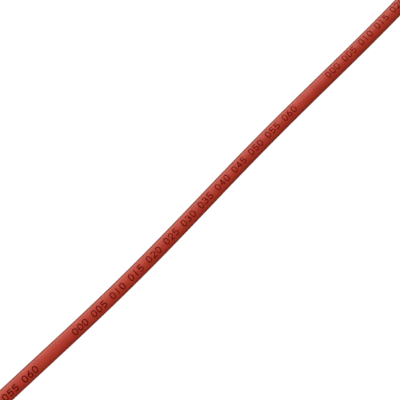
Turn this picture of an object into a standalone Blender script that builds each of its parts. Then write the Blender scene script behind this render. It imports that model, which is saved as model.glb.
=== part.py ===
"""Heat shrink tube: one cut length of thin-walled round tube, lying in the gentle S it keeps from its roll.

Metres, +Z up. The tube lies on Z = 0 and runs along X, with the origin under the middle of its box.
"""

import math

import bpy
import numpy as np
from mathutils import Matrix

MM = 0.001

# The tube as supplied, before heat shrinks it. It is extruded in one piece and cut square.
BORE_DIAMETER = 2.5 * MM
WALL_THICKNESS = 0.25 * MM
TUBE_LENGTH = 152.4 * MM  # measured along its axis

# How far the axis bows sideways from the straight line between its ends, for each way of bowing.
# Positive is towards +Y in the first arch, at the -X end.
BOW_IN_ONE_ARCH = -1.07 * MM
BOW_IN_TWO_ARCHES = -0.18 * MM
BOW_IN_THREE_ARCHES = -0.08 * MM
BOW_IN_FOUR_ARCHES = 0.25 * MM

# How finely the curves are divided. The sides are a multiple of four, so that flats don't lower the top.
SIDES = 24
STATIONS = 33
SHARP_EDGE = math.radians(40)

TUBE_COLOUR = (0.478, 0.037, 0.017, 1.0)
TUBE_ROUGHNESS = 0.40

outside_diameter = BORE_DIAMETER + 2 * WALL_THICKNESS


def clear_scene():
    for old in list(bpy.data.objects):
        bpy.data.objects.remove(old, do_unlink=True)


def heading(share):
    """The axis's direction in radians from +X, at these shares of the length from the -X end."""
    bows = (BOW_IN_ONE_ARCH, BOW_IN_TWO_ARCHES, BOW_IN_THREE_ARCHES, BOW_IN_FOUR_ARCHES)
    slope = np.zeros_like(share)
    for arches, bow in enumerate(bows, start=1):
        wave = arches * math.pi
        slope += bow * wave / TUBE_LENGTH * np.cos(wave * share)
    return np.arctan(slope)


def axis_points():
    """Points along the tube's axis, each the same step from the last, so that the bows don't shorten it."""
    steps = STATIONS - 1
    turn = heading((np.arange(steps) + 0.5) / steps)
    step = TUBE_LENGTH / steps
    along = np.concatenate(([0.0], np.cumsum(np.cos(turn)))) * step
    across = np.concatenate(([0.0], np.cumsum(np.sin(turn)))) * step
    return np.column_stack((along, across, np.full(STATIONS, outside_diameter / 2)))


def swept_skin(points):
    """A curve through the points, thickened to the tube's outside, with its ends left open."""
    curve = bpy.data.curves.new("tube_axis", "CURVE")
    curve.dimensions = "3D"
    curve.twist_mode = "Z_UP"
    curve.bevel_depth = outside_diameter / 2
    curve.bevel_resolution = SIDES // 2 - 2
    curve.use_fill_caps = False
    spline = curve.splines.new("POLY")
    spline.points.add(len(points) - 1)
    for point, place in zip(spline.points, points):
        point.co = (*place, 1.0)
    skin = bpy.data.objects.new("tube_skin", curve)
    bpy.context.scene.collection.objects.link(skin)
    return skin


def add_wall(skin):
    """Gives the skin its wall on the inside, which leaves the bore open from end to end."""
    wall = skin.modifiers.new("wall", "SOLIDIFY")
    wall.thickness = WALL_THICKNESS
    wall.offset = -1
    wall.use_even_offset = True
    wall.use_rim = True


def mesh_of(skin):
    """The skin with its wall as one mesh, smooth round the tube and sharp at the cut ends."""
    graph = bpy.context.evaluated_depsgraph_get()
    mesh = bpy.data.meshes.new_from_object(skin.evaluated_get(graph))
    bpy.data.objects.remove(skin, do_unlink=True)
    mesh.shade_smooth()
    mesh.set_sharp_from_angle(angle=SHARP_EDGE)
    return mesh


def centre_over_origin(mesh):
    """Moves the mesh along X and Y until the origin is under the middle of its box."""
    corners = np.array([vertex.co[:] for vertex in mesh.vertices])
    middle = (corners.min(axis=0) + corners.max(axis=0)) / 2
    mesh.transform(Matrix.Translation((-middle[0], -middle[1], 0.0)))


def tube_plastic():
    plastic = bpy.data.materials.new("red_shrink_plastic")
    plastic.use_nodes = True
    shader = plastic.node_tree.nodes["Principled BSDF"]
    shader.inputs["Base Color"].default_value = TUBE_COLOUR
    shader.inputs["Roughness"].default_value = TUBE_ROUGHNESS
    shader.inputs["Metallic"].default_value = 0.0
    return plastic


def make_shrink_tube():
    skin = swept_skin(axis_points())
    add_wall(skin)
    mesh = mesh_of(skin)
    mesh.name = "shrink_tube"
    mesh.materials.append(tube_plastic())
    centre_over_origin(mesh)
    tube = bpy.data.objects.new("shrink_tube", mesh)
    bpy.context.scene.collection.objects.link(tube)
    return tube


clear_scene()
make_shrink_tube()
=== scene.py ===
# Heat shrink tube on a pale floor: the looks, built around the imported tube.
import math

import bpy
import numpy as np
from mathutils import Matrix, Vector


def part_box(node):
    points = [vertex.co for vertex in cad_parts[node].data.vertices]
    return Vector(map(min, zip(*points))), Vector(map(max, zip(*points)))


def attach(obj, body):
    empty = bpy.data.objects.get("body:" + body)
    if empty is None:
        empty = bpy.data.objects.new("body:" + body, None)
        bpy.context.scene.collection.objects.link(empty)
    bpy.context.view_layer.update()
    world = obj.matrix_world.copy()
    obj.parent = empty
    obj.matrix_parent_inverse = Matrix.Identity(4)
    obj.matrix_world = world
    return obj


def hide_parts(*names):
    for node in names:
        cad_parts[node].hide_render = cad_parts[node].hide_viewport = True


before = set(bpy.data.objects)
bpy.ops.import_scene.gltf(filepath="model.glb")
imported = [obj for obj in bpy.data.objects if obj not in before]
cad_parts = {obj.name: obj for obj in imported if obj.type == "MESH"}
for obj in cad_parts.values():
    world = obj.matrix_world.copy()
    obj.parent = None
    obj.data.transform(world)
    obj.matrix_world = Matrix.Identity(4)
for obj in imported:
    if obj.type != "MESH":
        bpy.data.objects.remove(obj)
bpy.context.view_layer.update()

scene = bpy.context.scene
scene.view_settings.view_transform = "Standard"
print("frame loaded:", sorted(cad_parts))


# The camera looks down from beside the tube's near end, so that it crosses the frame from corner to corner.
# Lengths here and below are in metres, unless a note says otherwise.
view = {
    "azimuth": -46.90,  # degrees round the tube, 0 looks along +Y
    "elevation": 68.0,  # degrees above the floor
    "distance": 0.340,
    "aim": (0.00015, 0.00062, 0.0015),
    "lens": 156.6,  # mm
    "sensor": 36.0,  # mm
    "clips": (0.01, 20.0),  # nearest and farthest that it sees
}


def makeCamera():
    turn = math.radians(view["azimuth"])
    rise = math.radians(view["elevation"])
    back = Vector((math.sin(turn) * math.cos(rise), -math.cos(turn) * math.cos(rise), math.sin(rise)))
    lens = bpy.data.cameras.new("camera")
    lens.lens = view["lens"]
    lens.sensor_width = view["sensor"]
    lens.clip_start, lens.clip_end = view["clips"]
    camera = bpy.data.objects.new("camera", lens)
    camera.location = Vector(view["aim"]) + back * view["distance"]
    camera.rotation_mode = "QUATERNION"
    camera.rotation_quaternion = (-back).to_track_quat("-Z", "Y")
    scene.collection.objects.link(camera)
    scene.camera = camera


makeCamera()
print("camera ready")


# The tube's own sizes. Its outside comes from the frame.
tube = {
    "length": 0.1524,  # along the axis
    "bore": 0.0025,
    "bows": (-0.00107, -0.00018, -0.00008, 0.00025),  # sideways bow in one, two, three and four arches
    "cutRounding": 0.00003,  # softening of the cut ends' edges
    "roundingSteps": 4,
    "sides": 96,
    "outsideRings": 560,
    "boreRings": 200,
}

lowest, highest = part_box("shrink_tube")
outside = highest.z - lowest.z
outsideRadius = outside / 2
boreRadius = tube["bore"] / 2


def bowedAxis(rings):
    # Heading = arctangent of the summed slopes of the bows, each a sine of one to four arches in the length.
    # Points = running sum of equal steps along the heading, so the bows don't shorten the tube.
    steps = rings - 1
    middles = (np.arange(steps) + 0.5) / steps
    arches = math.pi * np.arange(1, len(tube["bows"]) + 1)[:, None]
    slopes = np.array(tube["bows"])[:, None] * arches / tube["length"] * np.cos(arches * middles)
    heading = np.arctan(slopes.sum(axis=0))
    step = tube["length"] / steps
    x = np.concatenate(([0.0], np.cumsum(np.cos(heading)))) * step
    y = np.concatenate(([0.0], np.cumsum(np.sin(heading)))) * step
    distance = np.linspace(-0.5, 0.5, rings) * tube["length"]
    ringHeading = np.interp(distance, (middles - 0.5) * tube["length"], heading)
    return distance, x, y, ringHeading


axisDistance, axisX, axisY, axisHeading = bowedAxis(tube["outsideRings"])
sideways = outsideRadius * np.abs(np.sin(axisHeading))
upright = outsideRadius * np.cos(axisHeading)
axisX += (lowest.x + highest.x - (axisX - sideways).min() - (axisX + sideways).max()) / 2
axisY += (lowest.y + highest.y - (axisY - upright).min() - (axisY + upright).max()) / 2


def onTube(along, around, radius):
    # Axis point at that distance, plus the radius turned by `around` from straight up in the plane square to
    # the axis. Positive turns go towards +Y.
    heading = np.interp(along, axisDistance, axisHeading)
    side = radius * np.sin(around)
    x = np.interp(along, axisDistance, axisX) - side * np.sin(heading)
    y = np.interp(along, axisDistance, axisY) + side * np.cos(heading)
    z = lowest.z + outsideRadius + radius * np.cos(around)
    return np.stack((x, y, z), axis=-1)


def onStraight(along, around, radius):
    # The same point on the unbent stock, lying along X with its axis at the origin.
    return np.stack((along, radius * np.sin(around), radius * np.cos(around)), axis=-1)


def gridFaces(rows, columns, rowsClose):
    # Quads between neighbouring rows and columns, facing along row step x column step. The columns always
    # close into a ring.
    row = np.arange(rows if rowsClose else rows - 1)[:, None]
    column = np.arange(columns)[None, :]
    nextRow = (row + 1) % rows
    nextColumn = (column + 1) % columns
    corners = (
        row * columns + column,
        nextRow * columns + column,
        nextRow * columns + nextColumn,
        row * columns + nextColumn,
    )
    return np.stack(np.broadcast_arrays(*corners), axis=-1).reshape(-1, 4)


def meshPiece(name, place, faces):
    # The straight attribute gives each point's place on the unbent stock, for patterns that follow the tube.
    mesh = bpy.data.meshes.new(name)
    mesh.from_pydata(onTube(*place).reshape(-1, 3).tolist(), [], faces)
    mesh.shade_smooth()
    straight = mesh.attributes.new("straight", "FLOAT_VECTOR", "POINT")
    straight.data.foreach_set("vector", onStraight(*place).reshape(-1).astype(np.float32))
    mesh.update()
    piece = bpy.data.objects.new(name, mesh)
    scene.collection.objects.link(piece)
    return piece


def wallSection():
    # Closed loop round the tube's wall as (along, radius): out along the outside, round the far cut end,
    # back through the bore and round the near one. Each corner is a quarter circle.
    r = tube["cutRounding"]
    end = tube["length"] / 2 - r
    turn = np.linspace(0.0, math.pi / 2, tube["roundingSteps"])
    sine = r * np.sin(turn)
    cosine = r * np.cos(turn)
    outer = outsideRadius - r
    inner = boreRadius + r
    outsideRun = np.linspace(-end, end, tube["outsideRings"])[1:-1]
    boreRun = np.linspace(end, -end, tube["boreRings"])[1:-1]
    along = (outsideRun, end + sine, end + cosine, boreRun, -end - sine, -end - cosine)
    radius = (
        np.full(len(outsideRun), outsideRadius),
        outer + cosine,
        inner - sine,
        np.full(len(boreRun), boreRadius),
        inner - cosine,
        outer + sine,
    )
    return np.concatenate(along), np.concatenate(radius)


def makeTube():
    # Surface of two parameters: the wall's section runs one way, and the turn round the axis the other.
    along, radius = wallSection()
    around = np.linspace(0.0, 2 * math.pi, tube["sides"], endpoint=False)
    place = np.broadcast_arrays(along[:, None], around[None, :], radius[:, None])
    return meshPiece("tube_wall", place, gridFaces(len(along), len(around), True).tolist())


tubeWall = makeTube()
print("tube wall:", len(tubeWall.data.polygons), "faces")


# Ink marks: a plain length scale in millimetres, read from the near end to the far one, then a bare stretch.
marks = {
    "step": 5,  # mm from one number to the next
    "last": 60,  # the scale's last number
    "repeat": 0.0730,  # from one scale's start to the next one's
    "start": -0.0346,  # the middle of the middle scale's first number, along the axis
    "height": 0.00122,
    "width": 0.00082,
    "pitch": 0.00130,
    "stroke": 0.00023,
    "bandTurn": -0.195,  # turn of the band's middle from straight up at the tube's middle, in radians
    "bandTwist": 4.1,  # radians more for each metre along the tube
    "lift": 0.000010,  # the ink's height on the surface
    "root": 0.000020,  # how far it reaches in below the surface
    "ridgeAcross": (-1.0, -1.0, -0.75, 0.75, 1.0, 1.0),  # a stroke's section, in half widths
    "ridgeRise": (0.0, 0.3, 1.0, 1.0, 0.3, 0.0),  # the same corners' heights, in lifts
    "liftSteps": 4,  # heights that the strokes take in turn, so that those that cross differ a hair
    "liftStep": 0.15,  # from one of those heights to the next, as a share of the lift
    "endMargin": 0.0026,  # least distance from a cut end to a number's middle
    "strokePoints": 26,
    "capPoints": 3,
    "capTurn": 84,  # degrees of its quarter circle that a stroke's end goes round
}


def arc(middleX, middleY, radiusX, radiusY, start, end):
    # Elliptic arc between two angles in degrees, 0 to the right and 90 up, in shares of a digit's size.
    angle = np.radians(np.linspace(start, end, marks["strokePoints"]))
    return np.column_stack((middleX + radiusX * np.cos(angle), middleY + radiusY * np.sin(angle)))


def line(startX, startY, endX, endY):
    share = np.linspace(0.0, 1.0, marks["strokePoints"])[:, None]
    return np.array((startX, startY)) * (1 - share) + np.array((endX, endY)) * share


# Each digit is a few strokes, and each stroke a few runs joined end to end.
digitStrokes = {
    "0": [
        (line(0.0, 0.34, 0.0, 0.66), arc(0.5, 0.66, 0.5, 0.34, 180, 0), arc(0.5, 0.34, 0.5, 0.34, 0, -180)),
    ],
    "1": [(line(0.5, 0.0, 0.5, 1.0),)],
    "2": [(arc(0.5, 0.69, 0.5, 0.31, 160, -35), line(0.91, 0.51, 0.0, 0.0)), (line(0.0, 0.0, 1.0, 0.0),)],
    "3": [(arc(0.45, 0.76, 0.45, 0.24, 150, -90),), (arc(0.45, 0.26, 0.52, 0.26, 90, -150),)],
    "4": [(line(0.76, 0.0, 0.76, 1.0),), (line(0.76, 1.0, 0.0, 0.33),), (line(0.0, 0.33, 1.0, 0.33),)],
    "5": [
        (line(0.95, 1.0, 0.10, 1.0),),
        (line(0.10, 1.0, 0.04, 0.52),),
        (line(0.04, 0.52, 0.45, 0.62), arc(0.45, 0.31, 0.53, 0.31, 90, -145)),
    ],
    "6": [(arc(0.98, 0.30, 0.98, 0.70, 100, 180), arc(0.5, 0.30, 0.5, 0.30, 180, 540))],
}


def evenStroke(runs):
    # The joined runs read again at equal steps, so that all strokes have the same number of points.
    points = np.concatenate(runs)
    travelled = np.concatenate(([0.0], np.cumsum(np.hypot(*np.diff(points, axis=0).T))))
    even = np.linspace(0.0, travelled[-1], marks["strokePoints"])
    return np.column_stack([np.interp(even, travelled, points[:, axis]) for axis in (0, 1)])


def numberStrokes(number, middle):
    # Three digits a pitch apart, with the middle one at the number's place on the scale.
    size = np.array((marks["width"], marks["height"]))
    strokes = []
    for place, digit in enumerate(f"{number:03d}"):
        corner = np.array((middle + marks["pitch"] * (place - 1), 0.0)) - size / 2
        strokes += [evenStroke(runs) * size + corner for runs in digitStrokes[digit]]
    return strokes


def scaleStrokes():
    # All strokes of the scales' numbers that stand whole on the tube. A number is its own distance in mm.
    strokes = []
    end = tube["length"] / 2 - marks["endMargin"]
    repeats = math.ceil(tube["length"] / marks["repeat"])
    for repeat in range(-repeats, repeats + 1):
        for number in range(0, marks["last"] + 1, marks["step"]):
            middle = marks["start"] + repeat * marks["repeat"] + number / 1000
            if abs(middle) < end:
                strokes += numberStrokes(number, middle)
    return np.array(strokes)


def strokeLines():
    # Every stroke goes on past both its ends, where its half width falls along a quarter circle.
    strokes = scaleStrokes()
    tangent = np.gradient(strokes, axis=1)
    tangent /= np.linalg.norm(tangent, axis=2, keepdims=True)
    half = marks["stroke"] / 2
    turn = np.radians(np.linspace(0, marks["capTurn"], marks["capPoints"] + 1)[1:])
    reach = half * np.sin(turn)[None, :, None]
    head = strokes[:, :1] - tangent[:, :1] * reach[:, ::-1]
    tail = strokes[:, -1:] + tangent[:, -1:] * reach
    middle = np.concatenate((head, strokes, tail), axis=1)
    tangent = np.pad(tangent, ((0, 0), (len(turn), len(turn)), (0, 0)), mode="edge")
    narrow = half * np.cos(turn)
    halfWidth = np.concatenate((narrow[::-1], np.full(strokes.shape[1], half), narrow))
    return middle, tangent, halfWidth


def makeMarks():
    # Each stroke is a low ridge with a six-sided section, carried along its line on the unrolled surface,
    # and the whole is rolled on to the tube. The section's first and last corners go down to the root.
    middle, tangent, halfWidth = strokeLines()
    square = np.stack((-tangent[..., 1], tangent[..., 0]), axis=-1)
    across = halfWidth[:, None] * np.array(marks["ridgeAcross"])
    flat = middle[:, :, None, :] + square[:, :, None, :] * across[..., None]
    lift = marks["lift"] * (1 + marks["liftStep"] * (np.arange(len(middle)) % marks["liftSteps"]))
    height = np.array(marks["ridgeRise"]) * lift[:, None, None]
    height[..., (0, -1)] = -marks["root"]
    along = flat[..., 0]
    around = flat[..., 1] / outsideRadius + marks["bandTurn"] + marks["bandTwist"] * along
    radius = outsideRadius + np.broadcast_to(height, along.shape)

    strokes, rings, corners = along.shape
    first = np.arange(strokes)[:, None] * rings * corners
    cap = np.arange(corners)
    sides = gridFaces(rings, corners, False)[None] + first[..., None]
    faces = sides.reshape(-1, 4).tolist()
    faces += (first + cap).tolist()
    faces += (first + (rings - 1) * corners + cap[::-1]).tolist()
    return meshPiece("printed_marks", (along, around, radius), faces)


printedMarks = makeMarks()
print("printed marks:", len(printedMarks.data.polygons), "faces")


class Wire:
    # A shader socket that works in sums: each operator adds a Math node, and node() adds any other node.
    def __init__(self, tree, socket=None):
        self.tree = tree
        self.socket = socket

    def node(self, kind, settings, inputs, output=0):
        made = self.tree.nodes.new(kind)
        for name, value in settings.items():
            setattr(made, name, value)
        for name, value in inputs.items():
            if isinstance(value, Wire):
                self.tree.links.new(value.socket, made.inputs[name])
            else:
                made.inputs[name].default_value = value
        return Wire(self.tree, made.outputs[output])

    def combined(self, operation, first, second):
        return self.node("ShaderNodeMath", {"operation": operation}, {0: first, 1: second})

    def __add__(self, other):
        return self.combined("ADD", self, other)

    def __radd__(self, other):
        return self.combined("ADD", other, self)

    def __sub__(self, other):
        return self.combined("SUBTRACT", self, other)

    def __rsub__(self, other):
        return self.combined("SUBTRACT", other, self)

    def __mul__(self, other):
        return self.combined("MULTIPLY", self, other)

    def __rmul__(self, other):
        return self.combined("MULTIPLY", other, self)

    def mixed(self, first, second):
        # Colour between two others, by this mask.
        return self.node("ShaderNodeMix", {"data_type": "RGBA"}, {0: self, 6: first, 7: second}, 2)

    def stretched(self, factors):
        return self.node("ShaderNodeVectorMath", {"operation": "MULTIPLY"}, {0: self, 1: factors})

    def noise(self, scale, detail=2.0):
        return self.node("ShaderNodeTexNoise", {}, {"Vector": self, "Scale": scale, "Detail": detail})

    def faded(self, low, high):
        # 0 up to low, 1 from high, smooth between.
        settings = {"interpolation_type": "SMOOTHSTEP"}
        return self.node("ShaderNodeMapRange", settings, {"Value": self, "From Min": low, "From Max": high})


def newMaterial(name):
    material = bpy.data.materials.new(name)
    material.use_nodes = True
    shader = material.node_tree.nodes["Principled BSDF"]
    return material, shader, Wire(material.node_tree)


def plug(shader, name, wire):
    wire.tree.links.new(wire.socket, shader.inputs[name])


# Red shrink plastic: satin, with faint lengthwise extrusion streaks, slow mottling and a fine grain.
plastic = {
    "deep": (0.460, 0.0335, 0.0190, 1.0),
    "bright": (0.502, 0.0440, 0.0190, 1.0),
    "blend": (0.35, 0.65),  # pattern values at which the colour is all deep and all bright
    "roughness": 0.40,
    "unevenness": 0.04,  # of the roughness, from the grain and from the streaks
    "refraction": 1.53,
    "streaks": (60.0, 5200.0, 5200.0),  # to the metre, along and across
    "mottling": 420.0,
    "grain": 9000.0,
    "streakHeight": 0.0000010,
    "grainHeight": 0.0000002,
}


def paintPlastic(piece):
    material, shader, paint = newMaterial("red_shrink_plastic")
    place = paint.node("ShaderNodeAttribute", {"attribute_name": "straight"}, {}, "Vector")
    streaks = place.stretched(plastic["streaks"]).noise(1.0)
    mottling = place.noise(plastic["mottling"])
    grain = place.noise(plastic["grain"], 1.0)
    blend = ((streaks + mottling) * 0.5).faded(*plastic["blend"])
    plug(shader, "Base Color", blend.mixed(plastic["deep"], plastic["bright"]))
    plug(shader, "Roughness", plastic["roughness"] + (grain + streaks - 1.0) * plastic["unevenness"])
    height = streaks * plastic["streakHeight"] + grain * plastic["grainHeight"]
    bump = {"Strength": 1.0, "Distance": 1.0, "Height": height}  # heights are real ones
    plug(shader, "Normal", paint.node("ShaderNodeBump", {}, bump))
    shader.inputs["IOR"].default_value = plastic["refraction"]
    piece.data.materials.append(material)


paintPlastic(tubeWall)


# Dark ink that has soaked a little into the red.
ink = {
    "thick": (0.100, 0.001, 0.0005, 1.0),
    "worn": (0.260, 0.010, 0.004, 1.0),
    "roughness": 0.55,
    "wornRoughness": 0.08,  # more than that where it is worn
    "gloss": 0.08,  # share of a usual plastic's
    "wear": 3800.0,  # patches to the metre
    "wearLimits": (0.40, 0.58),  # pattern values at which the ink is whole and all worn
    "fading": 2.0,  # more wear for each metre towards the far end, where the print is fainter
}


def paintInk(piece):
    material, shader, paint = newMaterial("maroon_ink")
    place = paint.node("ShaderNodeAttribute", {"attribute_name": "straight"}, {}, "Vector")
    along = place.node("ShaderNodeSeparateXYZ", {}, {0: place}, "X")
    wear = (place.noise(ink["wear"]) + along * ink["fading"]).faded(*ink["wearLimits"])
    plug(shader, "Base Color", wear.mixed(ink["thick"], ink["worn"]))
    plug(shader, "Roughness", ink["roughness"] + wear * ink["wornRoughness"])
    shader.inputs["Specular IOR Level"].default_value = ink["gloss"] / 2
    piece.data.materials.append(material)


paintInk(printedMarks)
print("materials ready")


# Everything rides on the one body, and the new tube stands for the plain one.
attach(tubeWall, "root")
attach(printedMarks, "root")
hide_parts("shrink_tube")
print("tube declared")


# A white light table, and soft boxes about two metres off: low beside the tube, past each end, and above.
white = (1.0, 1.0, 1.0)
warm = (1.0, 1.0, 0.82)
studio = {
    "floorSide": 6.0,
    "floorColour": (0.10, 0.10, 0.10, 1.0),
    "floorRoughness": 0.9,
    "floorGlow": 0.95,
    "world": 0.03,
}
softBoxes = {  # place, width, height, radiance, tint
    "besideBox": ((0.350, 1.894, 0.334), 2.00, 0.90, 3.00, warm),
    "farEndBox": ((1.560, 0.804, 0.958), 1.20, 1.20, 4.20, white),
    "nearEndBox": ((-1.500, -0.640, 1.160), 1.20, 1.20, 9.00, white),
    "overheadBox": ((0.350, 1.000, 1.697), 2.00, 1.60, 0.88, white),
}


def makeFloor():
    # The tube takes no glare from the floor, which would light its underside.
    half = studio["floorSide"] / 2
    corners = [(x * half, y * half, lowest.z) for x, y in ((-1, -1), (1, -1), (1, 1), (-1, 1))]
    mesh = bpy.data.meshes.new("floor")
    mesh.from_pydata(corners, [], [(0, 1, 2, 3)])
    material, shader, _ = newMaterial("pale_floor")
    shader.inputs["Base Color"].default_value = studio["floorColour"]
    shader.inputs["Roughness"].default_value = studio["floorRoughness"]
    shader.inputs["Emission Color"].default_value = (*white, 1.0)
    shader.inputs["Emission Strength"].default_value = studio["floorGlow"]
    mesh.materials.append(material)
    floor = bpy.data.objects.new("floor", mesh)
    floor.visible_diffuse = False
    floor.visible_glossy = False
    floor.visible_shadow = False
    scene.collection.objects.link(floor)


def makeBox(name, place, width, height, radiance, tint):
    # A box's power = pi x its area x its radiance. It faces the tube, at the origin.
    lamp = bpy.data.lights.new(name, "AREA")
    lamp.shape = "RECTANGLE"
    lamp.size = width
    lamp.size_y = height
    lamp.energy = math.pi * width * height * radiance
    lamp.color = tint
    light = bpy.data.objects.new(name, lamp)
    light.location = place
    light.rotation_mode = "QUATERNION"
    light.rotation_quaternion = (-light.location).to_track_quat("-Z", "Y")
    scene.collection.objects.link(light)


def makeWorld():
    # An even dim room all round, which stands for what the table throws back too.
    world = bpy.data.worlds.new("studio")
    world.use_nodes = True
    background = world.node_tree.nodes["Background"]
    background.inputs["Color"].default_value = (*white, 1.0)
    background.inputs["Strength"].default_value = studio["world"]
    scene.world = world


makeFloor()
for name, box in softBoxes.items():
    makeBox(name, *box)
makeWorld()
print("studio ready")
